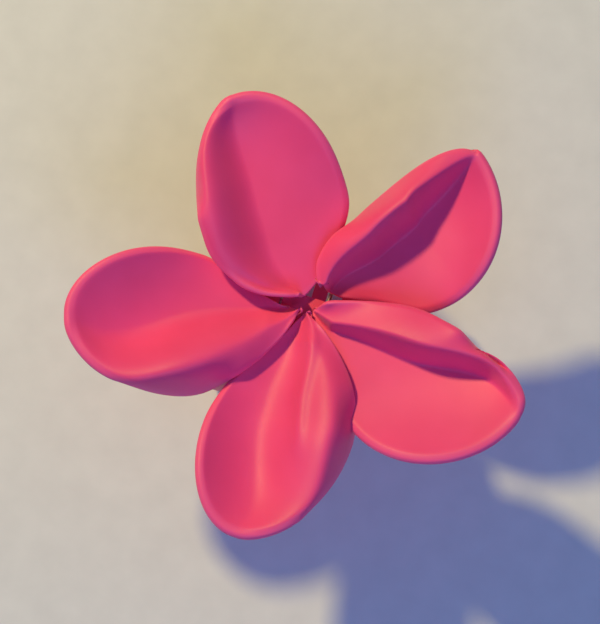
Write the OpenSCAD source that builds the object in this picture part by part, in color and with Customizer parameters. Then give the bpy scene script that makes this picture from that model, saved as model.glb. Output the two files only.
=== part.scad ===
// Flower hair clip: a claw clip whose two halves carry five cupped petals.
// +X runs along the hinge pin, -Y points to the front petal, +Z is up.
// The origin is on the table, under the middle of the flower.

/* [Flower] */
// Length of the front petals from the middle of the flower to the tip
petal_len = 42.8; // [40:0.1:43.5]
// Wall of a petal
petal_wall = 1.8; // [1.4:0.1:2]
// Height of the middle of the flower
flower_z = 41; // [41:0.5:43]
// How far the rounded crests stand above the middle of the flower
crest_rise = 10.5; // [8.5:0.5:11]
// How far the petal tips stand above the middle of the flower
tip_rise = 10; // [8:0.5:11]

/* [Comb] */
// Outer radius of each curved comb
comb_r = 20; // [19.5:0.1:20]
// Wall of the comb and its teeth
comb_wall = 2.2; // [1.8:0.1:2.4]
// Distance from tooth to tooth
tooth_pitch = 6.6; // [6.4:0.1:7]
// Width of one tooth
tooth_w = 2.8; // [2.2:0.1:2.8]

/* [Hinge] */
// Radius of the steel hinge pin
pin_r = 1; // [0.9:0.05:1.1]
// Radial play of the pin in the ears
pin_play = 0.05; // [0.03:0.01:0.08]
// Wire of the torsion spring
wire_d = 0.9; // [0.7:0.05:1]
// Number of coils
coils = 6; // [5:1:6]

/* [Hidden] */

pink = [0.95, 0.36, 0.45];
dark_pink = [0.85, 0.25, 0.36];
steel = [0.75, 0.76, 0.78];

// ---- petal shape ----
// Across a petal, from its thin edge: a blade that falls to a valley, a bank that climbs to a rounded crest,
// and a flank that rolls over to a foot. The foot rides over the thin edge of the petal before it near the
// middle of the flower, and dips below that edge further out.
// One row per petal: 0 direction, 1 length as a part of petal_len, 2 and 3 half widths of the thin side and
// of the rolled side, 4 sideways bend of the tip, 5 to 7 width of the flank, its least part of the rolled
// side and where it starts to fade, 8 run of the bank, 9 lift of the crest, 10 where the foot dips,
// 11 start from the middle, 12 lift of the thin edge, 13 lift of the foot, 14 play of the thin side near the
// middle, 15 rise of a second ridge, 16 and 17 where the two sides are widest, 18 flatness of the valley,
// 19 rise of the valley, 20 sideways sweep near the middle, which turns the flower into a pinwheel
petals = [
    [126, 0.900, 12.9, 14.1, 0.2, 2.2, 0.40, 0.60, 9.0, 0.0, 0.50, 2.4, 0.0, 1.7, 0.0, 0, 0.47, 0.42, 10, 6.0, 1.0],
    [54, 0.928, 15.3, 8.0, 3.2, 4.5, -0.20, 1.00, 4.2, 1.5, 0.26, 3.8, -1.9, 0.0, 1.8, 0, 0.60, 0.48, 6, 3.0, 1.8],
    [-18, 0.974, 14.4, 10.6, 3.8, 6.0, 0.00, 0.42, 3.2, 0.5, 0.58, 1.4, 0.0, 1.6, 0.0, 0, 0.60, 0.48, 6, 4.0, 0.0],
    [-90, 1.000, 10.2, 15.4, 0.2, 4.6, 0.50, 0.50, 13.0, 0.0, 0.26, 1.1, 0.0, 0.0, 0.0, 1, 0.60, 0.50, 6, 4.5, 1.0],
    [-162, 0.986, 10.0, 16.2, 1.6, 4.8, 0.50, 0.45, 11.0, 0.0, 0.26, 1.3, -1.3, 0.0, 1.4, 0, 0.60, 0.54, 6, 4.0, 1.0]
];
n_grid = 20;
edge_rise = 7;
foot_over = 2.8;
foot_under = 2.7;
// Steepest mean fall of the flank, and the part of the length over which it fades out
flank_slope = 2.4;
fade_run = 0.45;
// Part of the length over which the inner end widens from a point, and its wall as a part of petal_wall
nose = 0.07;
nose_wall = 0.45;

function smooth(k) = let (c = min(1, max(0, k))) c * c * (3 - 2 * c);
function mix(a, b, k) = a + (b - a) * k;
function clip(k) = min(1, max(0, k));

// Half width along a petal, as a part of its widest half width
function width_at(t, wide, start) =
    let (cap = clip(1 - (t - start) / nose))
    sqrt(1 - cap * cap) * (t < wide ? pow(sin(90 * t / wide), 1.08)
                                    : sqrt(max(0, 1 - pow((t - wide) / (1 - wide), 2))));

// Share of the flank that is left along a petal, and the width of the flank between the crest and the foot
function fade_at(t, p) = 1 - smooth((t - p[7]) / fade_run);
function flank_at(t, rolled, p) =
    min(p[5] * mix(0.6, 1, smooth(t / 0.4)) * fade_at(t, p),
        rolled * (1 - mix(p[6], 0.5, smooth((t - 0.3) / 0.4))));

function floor_z(t, p) = p[19] * t + (tip_rise - p[19]) * pow(t, p[18]);
function edge_z(t, lift) = mix(edge_rise * pow(t / 0.7, 1.3) + lift * smooth((t - 0.08) / 0.2), tip_rise,
                               smooth((t - 0.4) / 0.6));
function crest_z(t, lift) = mix((crest_rise + lift) * pow(smooth((t + 0.16) / 0.76), 0.9), tip_rise,
                                smooth((t - 0.6) / 0.4));
function foot_z(t, p) = mix(
    edge_z(t, 0) + (foot_over + p[13]) * smooth(t / 0.08)
        - (foot_over + p[13] + foot_under) * smooth((t - p[10]) / 0.2),
    tip_rise, smooth((t - 0.56) / 0.36));
// A low second ridge on the bank, which fades out towards the tip
function ridge_z(t, y, p) = p[15] * exp(-pow((y - 0.24 * petal_len * p[1] * t) / 1.3, 2))
    * smooth((t - 0.04) / 0.12) * (1 - smooth((t - 0.45) / 0.25));
// Sideways sweep near the middle and sideways bend of the tip
function sweep(t, p) = p[20] * smooth(t / 0.14) * (1 - smooth((t - 0.18) / 0.25)) + p[4] * pow(t, 3);
function play(t) = smooth(t / 0.1) * (1 - smooth((t - 0.27) / 0.18));

// Height over the middle of the flower at t along the petal and y across it, between the half widths given
function petal_z(t, y, thin, rolled, start, p) =
    let (crest_y = rolled - flank_at(t, rolled, p),
         valley_y = crest_y - p[8] * width_at(t, p[17], start),
         low = floor_z(t, p),
         high = crest_z(t, p[9]),
         slope = flank_slope * pow(fade_at(t, p), 0.7),
         foot = max(foot_z(t, p), high - slope * (rolled - crest_y)))
    ridge_z(t, y, p)
    + (y < valley_y ? mix(low, edge_z(t, p[12]), pow(clip((valley_y - y) / max(0.01, valley_y + thin)), 1.8))
       : y < crest_y ? mix(low, high, smooth((y - valley_y) / max(0.01, crest_y - valley_y)))
         : mix(high, foot, 1 - cos(90 * clip((y - crest_y) / max(0.01, rolled - crest_y)))));

// A point of the upper surface at x along and y across a unit disc, tip at x = 1
function petal_point(x, y, p) =
    let (q = min(1, max(-1, y / max(0.0001, sqrt(max(0, 1 - x * x))))),
         length = petal_len * p[1],
         start = p[11] / length,
         t = mix(start, 1, (1 + x) / 2),
         thin = p[2] * width_at(t, p[16], start) - p[14] * play(t),
         rolled = p[3] * width_at(t, p[17], start),
         across = q * (q > 0 ? rolled : thin))
    [length * t, across + sweep(t, p), petal_z(t, across, thin, rolled, start, p)];

function unit(v) = v / max(0.000001, norm(v));

// Direction that the upper surface faces, taken a little inside the rim
function petal_normal(x, y, p) =
    let (a = x * 0.94, b = y * 0.94, e = 0.05)
    unit(cross(petal_point(a + e, b, p) - petal_point(a - e, b, p),
               petal_point(a, b + e, p) - petal_point(a, b - e, p)));

// Grid places from -1 to 1, bent from a square to the disc so that the outline is one smooth curve
function disc_x(u, v) = u * sqrt(1 - v * v / 2);
function disc_y(u, v) = v * sqrt(1 - u * u / 2);
function place(i) = 2 * i / n_grid - 1;

// Grid places round the rim, in order
rim = concat(
    [for (i = [0 : n_grid - 1]) [i, 0]],
    [for (j = [0 : n_grid - 1]) [n_grid, j]],
    [for (i = [0 : n_grid - 1]) [n_grid - i, n_grid]],
    [for (j = [0 : n_grid - 1]) [0, n_grid - j]]);

// One petal in its own frame, pointing along +X, with a wall and a rounded rim
module petal(p) {
    side = n_grid + 1;
    disc = [for (i = [0 : n_grid]) for (j = [0 : n_grid])
        [disc_x(place(i), place(j)), disc_y(place(i), place(j))]];
    upper = [for (d = disc) petal_point(d[0], d[1], p)];
    normals = [for (d = disc) petal_normal(d[0], d[1], p)];
    walls = [for (d = disc) petal_wall * mix(nose_wall, 1, smooth((1 + d[0]) / 0.4))];
    lower = [for (k = [0 : len(disc) - 1]) upper[k] - walls[k] * normals[k]];
    middle = [for (r = rim)
        let (k = r[0] * side + r[1],
             out = unit(upper[k] - petal_point(disc[k][0] * 0.94, disc[k][1] * 0.94, p)))
        (upper[k] + lower[k]) / 2 + 0.45 * walls[k] * out];
    below = side * side;
    round_rim = 2 * below;
    count = len(rim);
    faces = concat(
        [for (i = [0 : n_grid - 1]) for (j = [0 : n_grid - 1])
            let (k = i * side + j) each [[k, k + 1, k + side], [k + 1, k + side + 1, k + side]]],
        [for (i = [0 : n_grid - 1]) for (j = [0 : n_grid - 1])
            let (k = below + i * side + j) each [[k, k + side, k + 1], [k + 1, k + side, k + side + 1]]],
        [for (m = [0 : count - 1])
            let (a = rim[m][0] * side + rim[m][1],
                 n = (m + 1) % count,
                 b = rim[n][0] * side + rim[n][1])
            each [[a, b, round_rim + m], [b, round_rim + n, round_rim + m],
                  [round_rim + m, round_rim + n, below + a], [round_rim + n, below + b, below + a]]]);
    polyhedron(points = concat(upper, lower, middle), faces = faces);
}

module placed_petal(index) {
    p = petals[index];
    color(pink) translate([0, 0, flower_z]) rotate(p[0]) petal(p);
}

module petal_1() placed_petal(0);
module petal_2() placed_petal(1);
module petal_3() placed_petal(2);
module petal_4() placed_petal(3);
module petal_5() placed_petal(4);

// ---- combs ----
hinge_z = flower_z - 4.5;
comb_z = comb_r;
// The middle of the front comb's curve lies behind the hinge, and the rear comb mirrors it
comb_shift = 2.5;
comb_top_half = 16.6;
comb_low_half = 17.9;
plate_low_z = 21;
top_gap = 4.2;
knuckle_r = 2.6;
// Half width of the window that the spring sits in
spring_window = 4.9;
front_teeth = [-2.5 : 1 : 2.5];
rear_teeth = [-2 : 1 : 2];
// Depth of the small flat that each tooth stands on
sole_cut = 0.25;

// Cylinder along X from x0 to x1, at y and z
module x_rod(x0, x1, y, z, r) {
    translate([x0, y, z]) rotate([0, 90, 0]) cylinder(r = r, h = x1 - x0, $fn = 64);
}

// The comb's curved wall between x0 and x1, from the hinge round to past the sole
module comb_wall_ring(x0, x1) {
    difference() {
        x_rod(x0, x1, comb_shift, comb_z - sole_cut, comb_r);
        x_rod(x0 - 1, x1 + 1, comb_shift, comb_z - sole_cut, comb_r - comb_wall);
    }
}

// Everything in front of the plane y = limit, between two heights
module in_front(limit, low, high) {
    translate([-40, -60, low]) cube([80, 60 + limit, high - low]);
}

// Solid upper wall of a comb, wider towards its teeth
module comb_plate() {
    intersection() {
        comb_wall_ring(-comb_low_half, comb_low_half);
        in_front(-top_gap, plate_low_z - 3, 60);
        rotate([90, 0, 0]) linear_extrude(height = 60) polygon([
            [-comb_top_half, 60], [comb_top_half, 60], [comb_top_half, 36],
            [comb_low_half, plate_low_z - 3], [-comb_low_half, plate_low_z - 3], [-comb_top_half, 36]]);
    }
}

// One tooth, curved like the wall, with a round end that stops just past the sole
module tooth(x) {
    intersection() {
        union() {
            intersection() {
                comb_wall_ring(x - tooth_w / 2, x + tooth_w / 2);
                union() {
                    in_front(comb_shift, -1, plate_low_z);
                    translate([-40, 0, 0]) cube([80, comb_shift + 0.01, 8]);
                }
            }
            translate([x, comb_shift, -sole_cut]) cylinder(d = tooth_w, h = comb_wall, $fn = 48);
        }
        translate([-40, -40, 0]) cube([80, 80, 60]);
    }
}

// Ear that joins the hinge knuckle to the front comb, between x0 and x1
module ear(x0, x1) {
    x_rod(x0, x1, 0, hinge_z, knuckle_r);
    translate([x0, 0, hinge_z]) rotate([90, 0, 90]) linear_extrude(height = x1 - x0) polygon([
        [0, knuckle_r], [-5.4, 2], [-6.4, 1], [-5.6, -1.4], [0, -knuckle_r]]);
}

// Upright rib under a petal's valley, which carries the petal on the comb
module rib(angle, from_r, to_r, p) {
    rib_w = 3;
    top_in = flower_z + floor_z(from_r / petal_len, p) - petal_wall / 2;
    top_out = flower_z + floor_z(to_r / petal_len, p) - petal_wall / 2;
    rotate(angle) translate([0, rib_w / 2, 0]) rotate([90, 0, 0]) linear_extrude(height = rib_w)
        polygon([[from_r, top_in], [to_r, top_out], [to_r - 3, 29], [from_r, 29]]);
}

// A comb that faces -Y: wall, teeth, hinge ears and ribs for the petals given
module comb(teeth, ears, ribs) {
    difference() {
        union() {
            comb_plate();
            for (n = teeth) tooth(n * tooth_pitch);
            for (e = ears) ear(e[0], e[1]);
            difference() {
                for (r = ribs) rib(r[0], r[1], r[2], r[3]);
                x_rod(-40, 40, comb_shift, comb_z - sole_cut, comb_r - comb_wall / 2);
                translate([-40, -top_gap, 0]) cube([80, 80, 80]);
            }
        }
        x_rod(-40, 40, 0, hinge_z, pin_r + pin_play);
        // Window for the spring
        translate([-spring_window, -12, 30]) cube([2 * spring_window, 20, 20]);
    }
}

// Cap that closes the flower's funnel over the spring: how far it reaches in front of the hinge and behind it
cap_front = 13;
cap_back = 2.2;
cap_over_hinge = 2.3;
cap_wall = 0.6;
module spring_cap() {
    translate([-spring_window, -cap_front, hinge_z + cap_over_hinge])
        cube([2 * spring_window, cap_front + cap_back, cap_wall]);
}

module front_comb() {
    color(dark_pink) spring_cap();
    color(dark_pink) comb(front_teeth, [[-16, -11], [11, 16]],
        [[-90, 9.8, 17, petals[3]], [-18, 12, 17, petals[2]], [-162, 12, 17, petals[4]]]);
}

module rear_comb() {
    color(dark_pink) rotate(180) comb(rear_teeth, [[-10.6, -5.4], [5.4, 10.6]],
        [[-126, 8.5, 16, petals[1]], [-54, 8.5, 16, petals[0]]]);
}

// ---- hinge pin ----
module hinge_pin() {
    color(steel) x_rod(-16.4, 16.4, 0, hinge_z, pin_r);
}

// ---- torsion spring ----
coil_r = pin_r + 0.25 + wire_d / 2;
coil_pitch = wire_d + 0.15;
coil_half = coils * coil_pitch / 2;
ring_step = 30;
// Each leg runs out through the window, then bends down along the outside of the comb
bend_reach = 12.4;
foot_reach = 15;
leg_r = comb_r + wire_d / 2 + 0.15;
function leg_z(y) = comb_z - sole_cut + sqrt(leg_r * leg_r - pow(y + comb_shift, 2)) - hinge_z;
bend = [-bend_reach, leg_z(bend_reach)];
// Angle in the YZ plane at which the front leg leaves the coil
leg_angle = atan2(bend[1], bend[0]) - acos(coil_r / norm(bend));

function coil_point(a, x) = [x, coil_r * cos(a), coil_r * sin(a)];
spring_turn = 360 * coils + (2 * leg_angle + 900) % 360;
spring_path = concat(
    [[-coil_half, -foot_reach, leg_z(foot_reach)], [-coil_half, bend[0], bend[1]]],
    [for (k = [0 : floor(spring_turn / ring_step)])
        coil_point(leg_angle - k * ring_step, mix(-coil_half, coil_half, k * ring_step / spring_turn))],
    [coil_point(leg_angle - spring_turn, coil_half)],
    [[coil_half, bend_reach, bend[1]], [coil_half, foot_reach, leg_z(foot_reach)]]);

// Tube with round section of radius r along a path
module tube(path, r, sides = 8) {
    last = len(path) - 1;
    rings = [for (i = [0 : last])
        let (ahead = unit(path[min(last, i + 1)] - path[max(0, i - 1)]),
             side = unit(cross(ahead, [1, 0, 0.001])),
             up = cross(side, ahead))
        for (s = [0 : sides - 1]) path[i] + r * (side * cos(360 * s / sides) + up * sin(360 * s / sides))];
    walls = [for (i = [0 : last - 1]) for (s = [0 : sides - 1])
        let (n = (s + 1) % sides)
        each [[i * sides + s, i * sides + n, (i + 1) * sides + s],
              [i * sides + n, (i + 1) * sides + n, (i + 1) * sides + s]]];
    caps = [[for (s = [0 : sides - 1]) sides - 1 - s], [for (s = [0 : sides - 1]) last * sides + s]];
    polyhedron(points = rings, faces = concat(walls, caps));
}

module torsion_spring() {
    color(steel) translate([0, 0, hinge_z]) tube(spring_path, wire_d / 2);
}

petal_1();
petal_2();
petal_3();
petal_4();
petal_5();
front_comb();
rear_comb();
hinge_pin();
torsion_spring();
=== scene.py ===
"""Flower hair clip: the looks of a five-petal claw clip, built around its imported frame.

Petal sizes are in millimetres and are scaled once, when a mesh is made. +X runs along the hinge pin,
-Y points to the front petal and +Z is up.
"""

import logging
import math
from dataclasses import dataclass
from enum import Enum

import bmesh
import bpy
import numpy as np
from mathutils import Matrix, Vector


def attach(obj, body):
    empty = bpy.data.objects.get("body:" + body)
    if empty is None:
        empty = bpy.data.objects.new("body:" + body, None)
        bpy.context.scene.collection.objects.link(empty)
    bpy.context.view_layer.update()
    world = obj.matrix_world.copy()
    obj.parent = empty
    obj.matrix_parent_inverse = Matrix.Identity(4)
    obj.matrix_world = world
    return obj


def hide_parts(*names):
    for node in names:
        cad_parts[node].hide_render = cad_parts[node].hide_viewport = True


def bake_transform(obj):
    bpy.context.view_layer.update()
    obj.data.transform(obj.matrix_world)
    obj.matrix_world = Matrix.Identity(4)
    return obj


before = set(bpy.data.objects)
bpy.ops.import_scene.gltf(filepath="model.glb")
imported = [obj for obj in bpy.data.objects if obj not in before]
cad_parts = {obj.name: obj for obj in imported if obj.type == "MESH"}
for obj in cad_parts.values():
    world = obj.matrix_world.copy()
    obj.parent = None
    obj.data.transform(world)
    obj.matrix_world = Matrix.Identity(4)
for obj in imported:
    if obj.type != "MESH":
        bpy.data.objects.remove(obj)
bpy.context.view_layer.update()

MM = 0.001
LOG = logging.getLogger("flower_hair_clip")
# Name of the mesh attribute that is 1 on a moulded rim and 0 away from it
RIM = "rim"


class Half(Enum):
    """The two halves of the clip, by the body that each piece rides on."""

    FRONT = "front_half"
    REAR = "rear_half"


class Slot(Enum):
    """The clip's material slots."""

    PETAL = "petal_plastic"
    COMB = "comb_plastic"
    PIN = "pin_steel"
    SPRING = "spring_steel"


# ---- small helpers ----


def smooth(k: np.ndarray) -> np.ndarray:
    """Smooth step from 0 to 1."""
    c = np.clip(k, 0.0, 1.0)
    return c * c * (3.0 - 2.0 * c)


def mix(a: np.ndarray, b: np.ndarray, k: np.ndarray) -> np.ndarray:
    """Linear blend from a to b."""
    return a + (b - a) * k


def unit(v: np.ndarray) -> np.ndarray:
    """Vectors along the last axis, scaled to length 1."""
    return v / np.maximum(1e-9, np.linalg.norm(v, axis=-1, keepdims=True))


def mesh_object(name: str, points: np.ndarray, faces: list[tuple[int, ...]]) -> bpy.types.Object:
    """Makes a smooth-shaded mesh object in the scene.

    Args:
        name: Name of the object and of its mesh.
        points: Vertices in metres.
        faces: Vertex numbers of each face.

    Returns:
        The new object.
    """
    mesh = bpy.data.meshes.new(name)
    mesh.from_pydata([tuple(p) for p in points], [], faces)
    mesh.update()
    mesh.polygons.foreach_set("use_smooth", [True] * len(mesh.polygons))
    piece = bpy.data.objects.new(name, mesh)
    bpy.context.scene.collection.objects.link(piece)
    return piece


def apply_modifiers(piece: bpy.types.Object) -> None:
    """Replaces a piece's mesh by the result of its modifiers.

    Args:
        piece: The piece, whose modifiers are then removed.
    """
    bpy.context.view_layer.update()
    evaluated = piece.evaluated_get(bpy.context.evaluated_depsgraph_get())
    mesh = bpy.data.meshes.new_from_object(evaluated)
    piece.modifiers.clear()
    piece.data = mesh


def fit_out(piece: bpy.types.Object, half: Half, slot: Slot, material: bpy.types.Material,
            *nodes: str) -> None:
    """Hangs a finished piece on its half of the clip and gives it its material.

    Args:
        piece: The finished piece.
        half: The half that it moves with.
        slot: The slot that its finish belongs to; not used.
        material: The material itself.
        nodes: CAD nodes that the piece stands for.
    """
    piece.data.materials.clear()
    piece.data.materials.append(material)
    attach(piece, half.value)
    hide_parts(*nodes)
    LOG.info("%s: %d faces on %s", piece.name, len(piece.data.polygons), half.value)


# ---- finishes ----


class NodeBoard:
    """A material's node tree, with short calls to add and link nodes."""

    def __init__(self, name: str) -> None:
        """Starts a material with a Principled shader alone.

        Args:
            name: Name of the material.
        """
        self.material = bpy.data.materials.new(name)
        self.material.use_nodes = True
        self.tree = self.material.node_tree
        self.shader = self.tree.nodes["Principled BSDF"]
        self.coordinates = self.tree.nodes.new("ShaderNodeTexCoord").outputs["Object"]

    def add(self, kind: str, **settings: object) -> bpy.types.Node:
        """Adds a node and sets its properties and unlinked inputs.

        Args:
            kind: Blender's name of the node type.
            settings: Properties by name, or inputs by name with spaces as underscores.

        Returns:
            The new node.
        """
        node = self.tree.nodes.new(kind)
        for key, value in settings.items():
            if hasattr(node, key):
                setattr(node, key, value)
            else:
                node.inputs[key.replace("_", " ")].default_value = value
        return node

    def link(self, source: bpy.types.NodeSocket, target: bpy.types.NodeSocket) -> None:
        """Links an output to an input."""
        self.tree.links.new(source, target)

    def noise(self, size_mm: float, detail: float = 2.0,
              stretch: tuple[float, float, float] = (1, 1, 1)) -> bpy.types.NodeSocket:
        """Noise of a given grain size.

        Args:
            size_mm: Size of one grain in millimetres.
            detail: Number of finer layers.
            stretch: Factors on the coordinates, for grain that runs one way.

        Returns:
            The noise value from 0 to 1.
        """
        mapping = self.add("ShaderNodeMapping")
        mapping.inputs["Scale"].default_value = stretch
        self.link(self.coordinates, mapping.inputs["Vector"])
        texture = self.add("ShaderNodeTexNoise", Scale=1.0 / (size_mm * MM), Detail=detail)
        self.link(mapping.outputs["Vector"], texture.inputs["Vector"])
        return texture.outputs["Fac"]

    def remap(self, value: bpy.types.NodeSocket, old: tuple[float, float],
              new: tuple[float, float]) -> bpy.types.NodeSocket:
        """Maps a value from one range to another, clamped.

        Args:
            value: The value's output.
            old: Range that the value comes in.
            new: Range that it is mapped to.

        Returns:
            The mapped value.
        """
        node = self.add("ShaderNodeMapRange", clamp=True)
        for name, number in zip(("From Min", "From Max", "To Min", "To Max"), (*old, *new)):
            node.inputs[name].default_value = number
        self.link(value, node.inputs["Value"])
        return node.outputs["Result"]

    def blend_colour(self, share: bpy.types.NodeSocket, a: object, b: object) -> bpy.types.NodeSocket:
        """Mixes two colours, each a tuple or an output.

        Args:
            share: Share of the second colour, from 0 to 1.
            a: First colour.
            b: Second colour.

        Returns:
            The mixed colour.
        """
        node = self.add("ShaderNodeMix", data_type="RGBA")
        self.link(share, node.inputs[0])
        for socket, colour in ((node.inputs[6], a), (node.inputs[7], b)):
            if isinstance(colour, tuple):
                socket.default_value = (*colour, 1.0)
            else:
                self.link(colour, socket)
        return node.outputs[2]

    def bump(self, height: bpy.types.NodeSocket, depth_mm: float, strength: float,
             below: bpy.types.NodeSocket | None = None) -> bpy.types.NodeSocket:
        """Adds a bump layer.

        Args:
            height: Height from 0 to 1.
            depth_mm: Depth of the bumps in millimetres.
            strength: How much of the layer shows.
            below: Normal of the layer under this one.

        Returns:
            The normal with this layer on it.
        """
        node = self.add("ShaderNodeBump", Strength=strength, Distance=depth_mm * MM)
        self.link(height, node.inputs["Height"])
        if below is not None:
            self.link(below, node.inputs["Normal"])
        return node.outputs["Normal"]


@dataclass(frozen=True)
class SoftTouchPlastic:
    """Moulded plastic with a matte, rubbery coat: fine grain, colour drift, paler rims that carry edge wear
    and a painted highlight, and specks.
    """

    name: str
    colour: tuple[float, float, float]
    # Paler rim colour: edge wear plus a painted highlight on the rounded rims
    wear_and_highlight: tuple[float, float, float]
    deep: tuple[float, float, float]
    speck: tuple[float, float, float] = (0.25, 0.008, 0.02)
    roughness: float = 0.52
    grain_mm: float = 0.22
    grain_deep_mm: float = 0.02
    ripple_mm: float = 2.6
    ripple_deep_mm: float = 0.05
    grain_strength: float = 0.35
    ripple_strength: float = 0.25
    drift_mm: float = 14.0
    # Largest share of the paler rim colour, painted highlight and wear together
    rim_wear_and_highlight: float = 0.5
    speck_spacing_mm: float = 9.0
    speck_mm: float = 0.12
    speck_share: float = 0.85
    specular: float = 0.4
    sheen: float = 0.12
    sheen_roughness: float = 0.45
    glow: float = 0.12
    glow_mm: float = 1.2
    glow_reach: tuple[float, float, float] = (1.0, 0.18, 0.2)

    def material(self) -> bpy.types.Material:
        """Builds the node material.

        Returns:
            The material.
        """
        board = NodeBoard(self.name)
        shader = board.shader
        drift = board.remap(board.noise(self.drift_mm), (0.35, 0.65), (0.0, 1.0))
        colour = board.blend_colour(drift, self.colour, self.deep)
        rim = board.add("ShaderNodeAttribute", attribute_name=RIM).outputs["Fac"]
        # Painted highlight: the rims blend towards a paler colour, which stands for the light caught on their
        # rounded edges as well as for edge wear
        colour = board.blend_colour(board.remap(rim, (0.2, 1.0), (0.0, self.rim_wear_and_highlight)), colour, self.wear_and_highlight)
        colour = board.blend_colour(self.specks(board), colour, self.speck)
        board.link(colour, shader.inputs["Base Color"])
        grain = board.noise(self.grain_mm, 3.0)
        rough = board.remap(grain, (0.3, 0.7), (self.roughness - 0.05, self.roughness + 0.07))
        board.link(rough, shader.inputs["Roughness"])
        ripple = board.bump(board.noise(self.ripple_mm, 1.0), self.ripple_deep_mm, self.ripple_strength)
        normal = board.bump(grain, self.grain_deep_mm, self.grain_strength, ripple)
        board.link(normal, shader.inputs["Normal"])
        shader.inputs["Specular IOR Level"].default_value = self.specular
        shader.inputs["Sheen Weight"].default_value = self.sheen
        shader.inputs["Sheen Roughness"].default_value = self.sheen_roughness
        shader.inputs["Subsurface Weight"].default_value = self.glow
        shader.inputs["Subsurface Radius"].default_value = self.glow_reach
        shader.inputs["Subsurface Scale"].default_value = self.glow_mm * MM
        return board.material

    def specks(self, board: NodeBoard) -> bpy.types.NodeSocket:
        """Sparse dust specks caught in the coat.

        Args:
            board: The node board to build them on.

        Returns:
            Share of the speck colour.
        """
        cells = board.add("ShaderNodeTexVoronoi", Scale=1.0 / (self.speck_spacing_mm * MM))
        board.link(board.coordinates, cells.inputs["Vector"])
        size = self.speck_mm / self.speck_spacing_mm
        return board.remap(cells.outputs["Distance"], (size, 1.6 * size), (self.speck_share, 0.0))


@dataclass(frozen=True)
class BrushedSteel:
    """Drawn steel wire or rod: bright, with fine lines along its length and a slight dull film."""

    name: str
    colour: tuple[float, float, float]
    roughness: float
    stretch: tuple[float, float, float]
    line_mm: float = 0.12
    line_deep_mm: float = 0.01
    film_mm: float = 2.5
    film_shade: float = 0.6

    def material(self) -> bpy.types.Material:
        """Builds the node material.

        Returns:
            The material.
        """
        board = NodeBoard(self.name)
        shader = board.shader
        lines = board.noise(self.line_mm, 3.0, self.stretch)
        film = board.remap(board.noise(self.film_mm, 2.0), (0.4, 0.7), (0.0, 0.5))
        dull = tuple(self.film_shade * c for c in self.colour)
        board.link(board.blend_colour(film, self.colour, dull), shader.inputs["Base Color"])
        rough = board.remap(lines, (0.3, 0.7), (self.roughness - 0.08, self.roughness + 0.12))
        board.link(rough, shader.inputs["Roughness"])
        board.link(board.bump(lines, self.line_deep_mm, 0.3), shader.inputs["Normal"])
        shader.inputs["Metallic"].default_value = 1.0
        return board.material


# ---- flower ----


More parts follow.
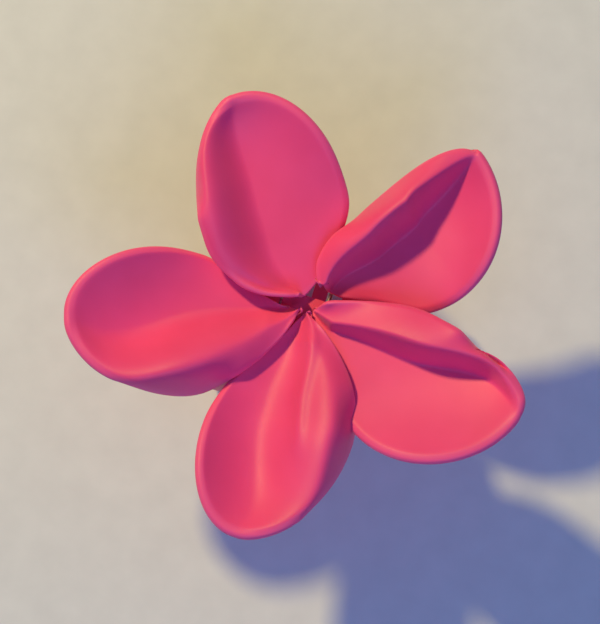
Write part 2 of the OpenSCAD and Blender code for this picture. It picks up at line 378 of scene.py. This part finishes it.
@dataclass(frozen=True)
class Petal:
    """One cupped petal in its own frame, pointing along +X, with its rolled side at +Y. Sizes in millimetres.

    Across it, from the thin edge: a blade falls to a valley, a bank climbs to a rounded crest, and a flank
    rolls over to a foot. Places along the petal are shares t of its length from the middle of the flower.
    """

    name: str
    half: Half
    direction: float
    length: float
    thin_width: float
    rolled_width: float
    skew: float
    flank_run: float
    flank_least: float
    flank_fade: float
    bank_run: float
    crest_rise: float
    foot_dip: float
    start: float
    thin_lift: float = 0.0
    foot_lift: float = 0.0
    thin_play: float = 0.0
    ridge_rise: float = 0.0
    wall: float = 1.8
    nose_wall: float = 0.45
    nose_wall_run: float = 0.4
    flower_z: float = 41.0
    tip_rise: float = 10.0
    floor_rise: float = 4.0
    edge_rise: float = 7.0
    foot_over: float = 2.8
    foot_under: float = 2.7
    swirl: float = 1.0
    t_wide_thin: float = 0.6
    t_wide_rolled: float = 0.48
    tip_power: float = 6.0
    flank_slope: float = 2.4
    fade_run: float = 0.45
    nose: float = 0.07
    inner_curve: float = 1.08
    flank_thin: float = 0.6
    flank_full: float = 0.4
    least_far: float = 0.5
    edge_knee: float = 0.7
    edge_curve: float = 1.3
    blade_curve: float = 1.8
    crest_curve: float = 0.9
    slope_curve: float = 0.7
    dip_run: float = 0.2
    ridge_lean: float = 0.24
    ridge_wide: float = 1.3
    rim_out: float = 0.45
    lip_share: float = 0.07
    lip_drop: float = 0.6
    rim_band: float = 0.07
    rim_step: float = 0.015
    rings: int = 44
    spokes: int = 180
    rim_steps: int = 7

    def width_at(self, t: np.ndarray, t_wide: float) -> np.ndarray:
        """Half width along the petal.

        Args:
            t: Place along the petal.
            t_wide: Place where this side is widest.

        Returns:
            Parts of the widest half width.
        """
        inner = np.sin(np.pi / 2 * np.clip(t / t_wide, 0, 1)) ** self.inner_curve
        outer = np.sqrt(np.maximum(0.0, 1 - (np.maximum(0.0, t - t_wide) / (1 - t_wide)) ** 2))
        cap = np.clip(1 - (t - self.start / self.length) / self.nose, 0, 1)
        return np.where(t < t_wide, inner, outer) * np.sqrt(1 - cap * cap)

    def fade_at(self, t: np.ndarray) -> np.ndarray:
        """Share of the flank that is left along the petal."""
        return 1 - smooth((t - self.flank_fade) / self.fade_run)

    def flank_at(self, t: np.ndarray, rolled: np.ndarray) -> np.ndarray:
        """Width of the flank between the crest and the foot, which fades out towards the tip.

        Args:
            t: Place along the petal.
            rolled: Half width there on the rolled side.

        Returns:
            Widths in millimetres.
        """
        flank = self.flank_run * mix(self.flank_thin, 1.0, smooth(t / self.flank_full)) * self.fade_at(t)
        least = mix(self.flank_least, self.least_far, smooth((t - 0.3) / 0.4))
        return np.minimum(flank, rolled * (1 - least))

    def floor_z(self, t: np.ndarray) -> np.ndarray:
        """Height of the valley along the petal."""
        return self.floor_rise * t + (self.tip_rise - self.floor_rise) * t**self.tip_power

    def edge_z(self, t: np.ndarray, lift: float) -> np.ndarray:
        """Height of the thin edge along the petal, with a lift that starts past the middle."""
        rise = self.edge_rise * (t / self.edge_knee) ** self.edge_curve + lift * smooth((t - 0.08) / 0.2)
        return mix(rise, self.tip_rise, smooth((t - 0.4) / 0.6))

    def crest_z(self, t: np.ndarray) -> np.ndarray:
        """Height of the rounded crest along the petal."""
        rise = self.crest_rise * smooth((t + 0.16) / 0.76) ** self.crest_curve
        return mix(rise, self.tip_rise, smooth((t - 0.6) / 0.4))

    def foot_z(self, t: np.ndarray) -> np.ndarray:
        """Height of the foot of the rolled side along the petal.

        Args:
            t: Place along the petal.

        Returns:
            Heights over the middle of the flower: over the next petal's edge at first, then under it.
        """
        over = self.foot_over + self.foot_lift
        rise = self.edge_z(t, 0.0) + over * smooth(t / 0.08)
        rise = rise - (over + self.foot_under) * smooth((t - self.foot_dip) / self.dip_run)
        return mix(rise, self.tip_rise, smooth((t - 0.56) / 0.36))

    def ridge_z(self, t: np.ndarray, y: np.ndarray) -> np.ndarray:
        """Height that a low second ridge adds, which fades out towards the tip."""
        ridge = self.ridge_rise * np.exp(-(((y - self.ridge_lean * self.length * t) / self.ridge_wide) ** 2))
        return ridge * smooth((t - 0.04) / 0.12) * (1 - smooth((t - 0.45) / 0.25))

    def height(self, t: np.ndarray, y: np.ndarray, thin: np.ndarray, rolled: np.ndarray) -> np.ndarray:
        """Height over the middle of the flower.

        Args:
            t: Place along the petal, from 0 at the middle of the flower to 1 at the tip.
            y: Distance from the petal's line, positive towards the rolled side.
            thin: Half width there on the thin side.
            rolled: Half width there on the rolled side.

        Returns:
            Heights in millimetres.
        """
        crest_y = rolled - self.flank_at(t, rolled)
        valley_y = crest_y - self.bank_run * self.width_at(t, self.t_wide_rolled)
        low = self.floor_z(t)
        high = self.crest_z(t)
        climb = np.clip((valley_y - y) / np.maximum(0.01, valley_y + thin), 0, 1) ** self.blade_curve
        blade = mix(low, self.edge_z(t, self.thin_lift), climb)
        bank = mix(low, high, smooth((y - valley_y) / np.maximum(0.01, crest_y - valley_y)))
        roll = 1 - np.cos(np.pi / 2 * np.clip((y - crest_y) / np.maximum(0.01, rolled - crest_y), 0, 1))
        slope = self.flank_slope * self.fade_at(t) ** self.slope_curve
        foot = np.maximum(self.foot_z(t), high - slope * (rolled - crest_y))
        flank = mix(high, foot, roll)
        return np.where(y < valley_y, blade, np.where(y < crest_y, bank, flank)) + self.ridge_z(t, y)

    def point(self, x: np.ndarray, y: np.ndarray) -> np.ndarray:
        """Points of the upper surface.

        Args:
            x: Place on a unit disc along the petal, with the tip at 1.
            y: Place on the disc across the petal.

        Returns:
            Points in millimetres, one a row.
        """
        q = np.clip(y / np.maximum(1e-4, np.sqrt(np.maximum(0.0, 1 - x * x))), -1, 1)
        t = mix(self.start / self.length, 1.0, (1 + x) / 2)
        play = smooth(t / 0.1) * (1 - smooth((t - 0.27) / 0.18))
        thin = self.thin_width * self.width_at(t, self.t_wide_thin) - self.thin_play * play
        rolled = self.rolled_width * self.width_at(t, self.t_wide_rolled)
        across = q * np.where(q > 0, rolled, thin)
        sweep = self.swirl * smooth(t / 0.14) * (1 - smooth((t - 0.18) / 0.25)) + self.skew * t**3
        lip = np.clip((np.hypot(x, y) - 1 + self.lip_share) / self.lip_share, 0, 1)
        drop = self.lip_drop * (1 - np.sqrt(1 - 0.9 * lip * lip)) * smooth((t - 0.15) / 0.15)
        z = self.height(t, across, thin, rolled) - drop
        return np.stack([self.length * t, across + sweep, z], axis=-1)

    def normal(self, x: np.ndarray, y: np.ndarray) -> np.ndarray:
        """Directions that the upper surface faces, taken a little inside the rim.

        Args:
            x: Place on the unit disc along the petal.
            y: Place on the disc across the petal.

        Returns:
            Unit vectors, one a row.
        """
        inside = 0.97
        step = 0.02
        a = inside * x
        b = inside * y
        along = self.point(a + step, b) - self.point(a - step, b)
        across = self.point(a, b + step) - self.point(a, b - step)
        return unit(np.cross(along, across))

    def build(self) -> bpy.types.Object:
        """Builds the petal as a closed shell with a wall and a round rim, in place.

        Returns:
            The new piece.
        """
        radius = (np.arange(self.rings) + 1) / self.rings
        angle = 2 * np.pi * np.arange(self.spokes) / self.spokes
        x = np.concatenate([[0.0], np.outer(radius, np.cos(angle)).ravel()])
        y = np.concatenate([[0.0], np.outer(radius, np.sin(angle)).ravel()])
        upper = self.point(x, y)
        normal = self.normal(x, y)
        wall = self.wall * mix(self.nose_wall, 1.0, smooth((1 + x) / self.nose_wall_run))[:, None]
        lower = upper - wall * normal
        rim = np.arange(len(x) - self.spokes, len(x))
        inside = 1 - self.rim_step
        outward = upper[rim] - self.point(inside * x[rim], inside * y[rim])
        outward = unit(outward - np.sum(outward * normal[rim], axis=1, keepdims=True) * normal[rim])
        middle = (upper[rim] + lower[rim]) / 2
        arcs = []
        for k in range(1, self.rim_steps + 1):
            turn = math.pi * k / (self.rim_steps + 1)
            up = math.cos(turn) / 2 * normal[rim]
            out = self.rim_out * math.sin(turn) * outward
            arcs.append(middle + wall[rim] * (up + out))
        points = np.concatenate([upper, lower, *arcs])
        faces = self.sheet_faces(0, False) + self.sheet_faces(len(x), True)
        first_arc = 2 * len(x) + np.arange(self.spokes)
        loops = [rim, *(first_arc + k * self.spokes for k in range(self.rim_steps)), rim + len(x)]
        for a, b in zip(loops, loops[1:]):
            for m in range(self.spokes):
                w = (m + 1) % self.spokes
                faces.append((int(a[m]), int(b[m]), int(b[w]), int(a[w])))
        spin = np.array(Matrix.Rotation(math.radians(self.direction), 3, "Z"))
        placed = points @ spin.T + np.array([0, 0, self.flower_z])
        piece = mesh_object(self.name + "_skin", placed * MM, faces)
        sheet_rim = smooth((np.hypot(x, y) - 1 + self.rim_band) / self.rim_band)
        rim_share = np.concatenate([sheet_rim, sheet_rim, np.ones(self.rim_steps * self.spokes)])
        attribute = piece.data.attributes.new(RIM, "FLOAT", "POINT")
        attribute.data.foreach_set("value", rim_share.astype(np.float32))
        return piece

    def sheet_faces(self, first: int, flip: bool) -> list[tuple[int, ...]]:
        """Faces of one sheet of rings round a middle point.

        Args:
            first: Number of the sheet's middle point.
            flip: Whether the faces look down.

        Returns:
            Faces by vertex number.
        """
        faces = []
        for s in range(self.spokes):
            n = (s + 1) % self.spokes
            faces.append((first, first + 1 + s, first + 1 + n))
            for r in range(self.rings - 1):
                inner = first + 1 + r * self.spokes
                outer = inner + self.spokes
                faces.append((inner + s, outer + s, outer + n, inner + n))
        return [face[::-1] for face in faces] if flip else faces


@dataclass
class Flower:
    """The five petals, in order round the flower."""

    plastic: SoftTouchPlastic

    def petals(self) -> list[Petal]:
        """The five petals, each with its own direction and cup.

        Returns:
            The petals in order round the flower.
        """
        return [
            Petal("petal_1", Half.REAR, direction=126, length=38.5, thin_width=12.9, rolled_width=14.1,
                  skew=0.2, flank_run=2.2, flank_least=0.40, flank_fade=0.60, bank_run=9.0, crest_rise=10.5,
                  foot_dip=0.50, start=2.4, foot_lift=1.7, t_wide_thin=0.47, t_wide_rolled=0.42,
                  tip_power=10.0, floor_rise=6.0),
            Petal("petal_2", Half.REAR, direction=54, length=39.7, thin_width=15.3, rolled_width=8.0,
                  skew=3.2, flank_run=4.5, flank_least=-0.20, flank_fade=1.0, bank_run=4.2, crest_rise=12.0,
                  foot_dip=0.26, start=3.8, thin_lift=-1.9, thin_play=1.8, floor_rise=3.0, swirl=1.8),
            Petal("petal_3", Half.FRONT, direction=-18, length=41.7, thin_width=14.4, rolled_width=10.6,
                  skew=3.8, flank_run=6.0, flank_least=0.0, flank_fade=0.42, bank_run=3.2, crest_rise=11.0,
                  foot_dip=0.58, start=1.4, foot_lift=1.6, swirl=0.0),
            Petal("petal_4", Half.FRONT, direction=-90, length=42.8, thin_width=10.2, rolled_width=15.4,
                  skew=0.2, flank_run=4.6, flank_least=0.50, flank_fade=0.50, bank_run=13.0, crest_rise=10.5,
                  foot_dip=0.26, start=1.1, ridge_rise=1.0, t_wide_rolled=0.50, floor_rise=4.5),
            Petal("petal_5", Half.FRONT, direction=-162, length=42.2, thin_width=10.0, rolled_width=16.2,
                  skew=1.6, flank_run=4.8, flank_least=0.50, flank_fade=0.45, bank_run=11.0, crest_rise=10.5,
                  foot_dip=0.26, start=1.3, thin_lift=-1.3, thin_play=1.4, t_wide_rolled=0.54),
        ]

    def build(self) -> None:
        """Builds and dresses the five petals."""
        material = self.plastic.material()
        for petal in self.petals():
            fit_out(petal.build(), petal.half, Slot.PETAL, material, petal.name)


# ---- combs and hinge ----


@dataclass
class Combs:
    """The two toothed combs with their hinge ears, with softened moulded edges."""

    plastic: SoftTouchPlastic
    edge_mm: float = 0.3
    edge_steps: int = 3
    edge_angle: float = 38.0
    sharp_angle: float = 50.0
    weld_mm: float = 0.002

    def build(self) -> None:
        """Builds and dresses both combs."""
        material = self.plastic.material()
        for node, half in (("front_comb", Half.FRONT), ("rear_comb", Half.REAR)):
            fit_out(self.softened(node), half, Slot.COMB, material, node)

    def softened(self, node: str) -> bpy.types.Object:
        """A copy of a comb's own shape, with its sharp edges rounded.

        Args:
            node: Name of the comb.

        Returns:
            The new piece.
        """
        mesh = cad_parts[node].data.copy()
        mesh.name = node + "_skin"
        piece = bpy.data.objects.new(mesh.name, mesh)
        bpy.context.scene.collection.objects.link(piece)
        work = bmesh.new()
        work.from_mesh(mesh)
        bmesh.ops.remove_doubles(work, verts=work.verts, dist=self.weld_mm * MM)
        bmesh.ops.dissolve_limit(work, angle_limit=math.radians(1.0), verts=work.verts, edges=work.edges)
        work.to_mesh(mesh)
        work.free()
        bevel = piece.modifiers.new("edges", "BEVEL")
        bevel.width = self.edge_mm * MM
        bevel.segments = self.edge_steps
        bevel.limit_method = "ANGLE"
        bevel.angle_limit = math.radians(self.edge_angle)
        apply_modifiers(piece)
        piece.data.shade_smooth()
        piece.data.set_sharp_from_angle(angle=math.radians(self.sharp_angle))
        return piece


@dataclass
class Hinge:
    """The steel pin and the torsion spring wound on it. Sizes in millimetres."""

    pin_r: float = 1.0
    pin_half: float = 16.4
    chamfer: float = 0.25
    wire_d: float = 0.9
    coils: int = 6
    hinge_z: float = 36.5
    comb_r: float = 20.0
    comb_z: float = 19.75
    comb_shift: float = 2.5
    bend_reach: float = 12.4
    foot_reach: float = 15.0
    coil_play: float = 0.25
    coil_gap: float = 0.15
    leg_gap: float = 0.15
    coil_steps: int = 28
    pin_sides: int = 40
    wire_sides: int = 14
    chamfer_steps: int = 4
    pin_sharp: float = 50.0
    wire_sharp: float = 60.0
    blend_share: float = 0.9

    def build(self) -> None:
        """Builds and dresses the pin and the spring."""
        pin_steel = BrushedSteel("pin_steel", (0.62, 0.63, 0.65), 0.28, (0.05, 1, 1)).material()
        fit_out(self.pin(), Half.FRONT, Slot.PIN, pin_steel, "hinge_pin")
        spring_steel = BrushedSteel("spring_steel", (0.5, 0.51, 0.54), 0.3, (1, 0.15, 0.15)).material()
        spring = self.spring()
        spring.data.materials.append(spring_steel)
        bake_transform(spring)
        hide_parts("torsion_spring")
        LOG.info("%s: %d faces across the hinge", spring.name, len(spring.data.polygons))

    def pin(self) -> bpy.types.Object:
        """The pin, turned round its axis with softened ends.

        Returns:
            The new piece.
        """
        profile = []
        for k in range(self.chamfer_steps + 1):
            angle = math.pi / 2 * k / self.chamfer_steps
            x = -self.pin_half + self.chamfer * (1 - math.cos(angle))
            profile.append((x, self.pin_r - self.chamfer * (1 - math.sin(angle))))
        profile += [(-x, r) for x, r in reversed(profile)]
        sides = self.pin_sides
        turns = 2 * math.pi * np.arange(sides) / sides
        circle = np.stack([np.zeros(sides), np.cos(turns), np.sin(turns)], axis=-1)
        rings = [np.array([x, 0, 0]) + r * circle for x, r in profile]
        points = np.concatenate(rings) + np.array([0, 0, self.hinge_z])
        faces = []
        for i in range(len(rings) - 1):
            for s in range(sides):
                n = (s + 1) % sides
                faces.append((i * sides + s, (i + 1) * sides + s, (i + 1) * sides + n, i * sides + n))
        faces.append(tuple(range(sides)))
        faces.append(tuple((len(rings) - 1) * sides + s for s in range(sides))[::-1])
        piece = mesh_object("hinge_pin_skin", points * MM, faces)
        piece.data.set_sharp_from_angle(angle=math.radians(self.pin_sharp))
        return piece

    def coil_r(self) -> float:
        """Radius of the coil's wire line."""
        return self.pin_r + self.coil_play + self.wire_d / 2

    def coil_half(self) -> float:
        """Half the length of the coil along the pin."""
        return self.coils * (self.wire_d + self.coil_gap) / 2

    def leg_z(self, y: float) -> float:
        """Height over the pin of a leg that lies on the comb's outside."""
        leg_r = self.comb_r + self.wire_d / 2 + self.leg_gap
        return self.comb_z + math.sqrt(leg_r**2 - (y + self.comb_shift) ** 2) - self.hinge_z

    def wire_line(self) -> np.ndarray:
        """Centre line of the spring: leg, coil and leg.

        Returns:
            Points in millimetres, as heights over the pin.
        """
        bend = np.array([-self.bend_reach, self.leg_z(self.bend_reach)])
        radius = self.coil_r()
        half = self.coil_half()
        leave = math.atan2(bend[1], bend[0]) - math.acos(radius / np.linalg.norm(bend))
        turn = 2 * math.pi * self.coils + (2 * leave + 5 * math.pi) % (2 * math.pi)
        count = int(turn / (2 * math.pi) * self.coil_steps)
        coil = []
        for k in range(count + 1):
            angle = leave - turn * k / count
            coil.append((mix(-half, half, k / count), radius * math.cos(angle), radius * math.sin(angle)))
        front = [(-half, -self.foot_reach, self.leg_z(self.foot_reach)), (-half, bend[0], bend[1])]
        rear = [(half, self.bend_reach, bend[1]), (half, self.foot_reach, self.leg_z(self.foot_reach))]
        return np.array(front + coil + rear)

    def spring(self) -> bpy.types.Object:
        """The spring's wire, swept along its line.

        Returns:
            The new piece.
        """
        line = self.wire_line()
        sides = self.wire_sides
        last = len(line) - 1
        rings = []
        for i in range(last + 1):
            ahead = unit(line[min(last, i + 1)] - line[max(0, i - 1)])
            across = unit(np.cross(ahead, np.array([1.0, 0.0, 0.001])))
            up = np.cross(across, ahead)
            for s in range(sides):
                angle = 2 * math.pi * s / sides
                rings.append(line[i] + self.wire_d / 2 * (across * math.cos(angle) + up * math.sin(angle)))
        faces = []
        for i in range(last):
            for s in range(sides):
                n = (s + 1) % sides
                faces.append((i * sides + s, i * sides + n, (i + 1) * sides + n, (i + 1) * sides + s))
        faces.append(tuple(range(sides))[::-1])
        faces.append(tuple(last * sides + s for s in range(sides)))
        points = np.array(rings) + np.array([0, 0, self.hinge_z])
        piece = mesh_object("torsion_spring_skin", points * MM, faces)
        piece.data.set_sharp_from_angle(angle=math.radians(self.wire_sharp))
        return piece


# ---- stage ----


@dataclass(frozen=True)
class Lamp:
    """A round area light aimed at the flower. Angles in degrees, from +X and from the horizon."""

    name: str
    azimuth: float
    elevation: float
    size: float
    power: float
    colour: tuple[float, float, float]
    distance: float = 0.9
    aim_z: float = 0.03

    def build(self) -> None:
        """Hangs the light."""
        data = bpy.data.lights.new(self.name, "AREA")
        data.shape = "DISK"
        data.size = self.size
        data.energy = self.power
        data.color = self.colour
        lamp = bpy.data.objects.new(self.name, data)
        a = math.radians(self.azimuth)
        e = math.radians(self.elevation)
        toward = Vector((math.cos(a) * math.cos(e), math.sin(a) * math.cos(e), math.sin(e)))
        lamp.location = Vector((0, 0, self.aim_z)) + self.distance * toward
        lamp.rotation_euler = toward.to_track_quat("Z", "Y").to_euler()
        bpy.context.scene.collection.objects.link(lamp)


@dataclass
class Studio:
    """A pale floor, a small warm key light, a cool fill and the camera, in metres and degrees.

    The camera's azimuth is counted from -Y towards +X.
    """

    azimuth: float = 18.0
    elevation: float = 82.0
    distance: float = 0.45
    view_height: float = 0.1132
    sensor_mm: float = 24.0
    aim: tuple[float, float, float] = (0.0, 0.0, 0.0415)
    shift_right: float = -0.0014
    shift_up: float = -0.0009
    key: Lamp = Lamp("key_light", 147.0, 50.0, 0.08, 7.0, (1.0, 0.83, 0.28))
    fill: Lamp = Lamp("fill_light", 297.0, 50.0, 0.5, 2.6, (0.34, 0.48, 1.0))
    sky_colour: tuple[float, float, float] = (0.36, 0.52, 1.0)
    sky_strength: float = 0.26
    floor_half: float = 1.5
    floor_grain_mm: float = 6.0
    floor_tones: tuple[tuple[float, float, float], ...] = ((0.66, 0.66, 0.70), (0.70, 0.70, 0.74))
    floor_roughness: float = 0.85

    def build(self) -> None:
        """Sets the floor, the lights and the camera."""
        self.floor()
        self.key.build()
        self.fill.build()
        self.sky()
        self.camera()
        bpy.context.scene.view_settings.view_transform = "Standard"

    def axes(self) -> tuple[Vector, Vector, Vector]:
        """The camera's own directions.

        Returns:
            Unit vectors to its right, upwards and backwards.
        """
        a = math.radians(self.azimuth)
        e = math.radians(self.elevation)
        back = Vector((math.sin(a) * math.cos(e), -math.cos(a) * math.cos(e), math.sin(e)))
        right = Vector((math.cos(a), math.sin(a), 0.0))
        return right, back.cross(right), back

    def camera(self) -> None:
        """Puts the camera above the flower, nearly straight over it."""
        right, up, back = self.axes()
        data = bpy.data.cameras.new("camera")
        data.sensor_fit = "VERTICAL"
        data.sensor_height = self.sensor_mm
        data.lens = self.sensor_mm * self.distance / self.view_height
        data.clip_start = 0.01
        camera = bpy.data.objects.new("camera", data)
        aim = Vector(self.aim) + self.shift_right * right + self.shift_up * up
        camera.location = aim + self.distance * back
        camera.rotation_euler = back.to_track_quat("Z", "Y").to_euler()
        bpy.context.scene.collection.objects.link(camera)
        bpy.context.scene.camera = camera

    def floor(self) -> None:
        """A wide pale floor with a faint paper grain."""
        half = self.floor_half
        corners = np.array([[-half, -half, 0], [half, -half, 0], [half, half, 0], [-half, half, 0]])
        floor = mesh_object("floor", corners, [(0, 1, 2, 3)])
        board = NodeBoard("pale_floor")
        tone = board.remap(board.noise(self.floor_grain_mm, 3.0), (0.3, 0.7), (0.0, 1.0))
        board.link(board.blend_colour(tone, *self.floor_tones), board.shader.inputs["Base Color"])
        board.shader.inputs["Roughness"].default_value = self.floor_roughness
        floor.data.materials.append(board.material)

    def sky(self) -> None:
        """A cool even fill from all round."""
        world = bpy.data.worlds.new("studio")
        world.use_nodes = True
        background = world.node_tree.nodes["Background"]
        background.inputs["Color"].default_value = (*self.sky_colour, 1.0)
        background.inputs["Strength"].default_value = self.sky_strength
        bpy.context.scene.world = world


def main() -> None:
    """Builds the clip and its stage in order."""
    logging.basicConfig(level=logging.INFO, format="%(message)s")
    pink = SoftTouchPlastic("petal_soft_touch", colour=(0.87, 0.064, 0.25), wear_and_highlight=(0.90, 0.10, 0.31),
                            deep=(0.81, 0.054, 0.22))
    comb_pink = SoftTouchPlastic("comb_plastic", colour=(0.80, 0.055, 0.20), wear_and_highlight=(0.86, 0.1, 0.27),
                                 deep=(0.75, 0.047, 0.17), roughness=0.42, speck_spacing_mm=15.0)
    Flower(pink).build()
    Combs(comb_pink).build()
    Hinge().build()
    Studio().build()


if __name__ == "__main__":
    main()
